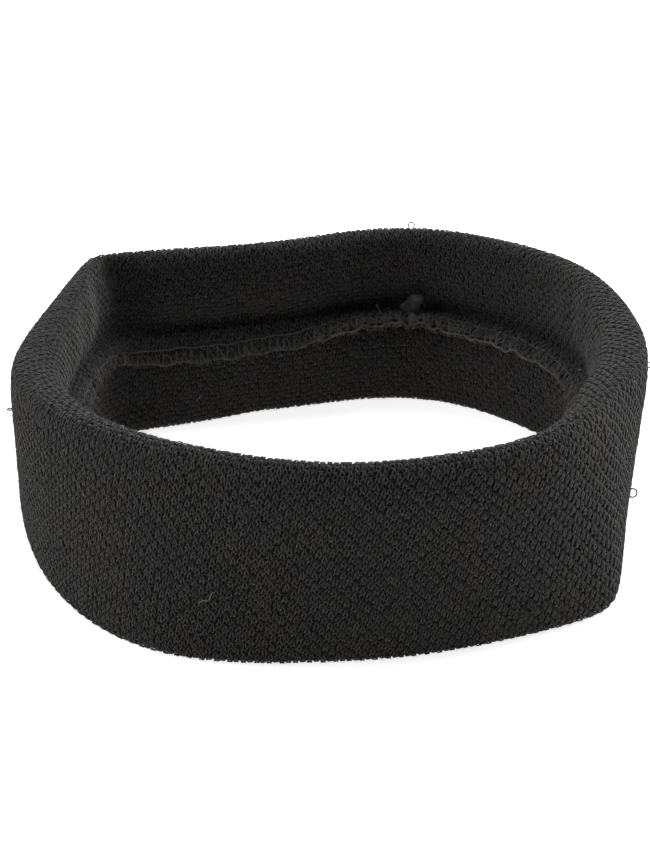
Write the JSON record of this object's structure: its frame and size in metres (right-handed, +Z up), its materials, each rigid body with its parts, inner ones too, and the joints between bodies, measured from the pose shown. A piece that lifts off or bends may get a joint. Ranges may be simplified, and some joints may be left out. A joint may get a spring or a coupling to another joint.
{
  "type": "sports headband",
  "caption": "Wide stretch-knit headband: a double layer of charcoal knit in a closed ring, folded rims top and bottom, with an overlocked seam flap round the inside.",
  "frame": {"origin": "middle of the bounding box in plan, on the plane the bottom rim rests on", "axes": "+Z up from the bottom rim to the top rim; -Y is the front of the band; +Y is the back, where the cross seam is; +X is to the right seen from the front"},
  "size_m": [0.1652, 0.1614, 0.0555],
  "materials": {
    "knit": "matte textured knit, faint fuzz",
    "elastic": "matte, textile-covered",
    "thread": "matte spun thread",
    "filament": "satin single filament"
  },
  "bodies": {
    "band": {"knit_body": "knit", "elastic_yarns_outer_wall": "elastic", "elastic_yarns_inner_upper": "elastic", "elastic_yarns_inner_lower": "elastic", "edge_seam_needle_thread": "thread", "edge_seam_upper_looper_thread": "thread", "edge_seam_lower_looper_thread": "thread", "cross_seam_needle_thread": "thread", "cross_seam_looper_thread": "thread", "loose_thread_end": "thread", "elastic_loop_right": "filament", "elastic_loop_right_upper": "filament", "elastic_nub_left": "filament", "elastic_loop_back": "filament"},
    "chain_tail": {"seam_chain_tail": "thread"}
  },
  "joints": [
    {"name": "chain_tail_flop", "type": "hinge", "parent": "band", "child": "chain_tail", "pos_m": [0.02433, 0.06962, 0.03035], "axis": [0.9919, -0.1274, 0], "range_deg": [-8, 68]}
  ]
}
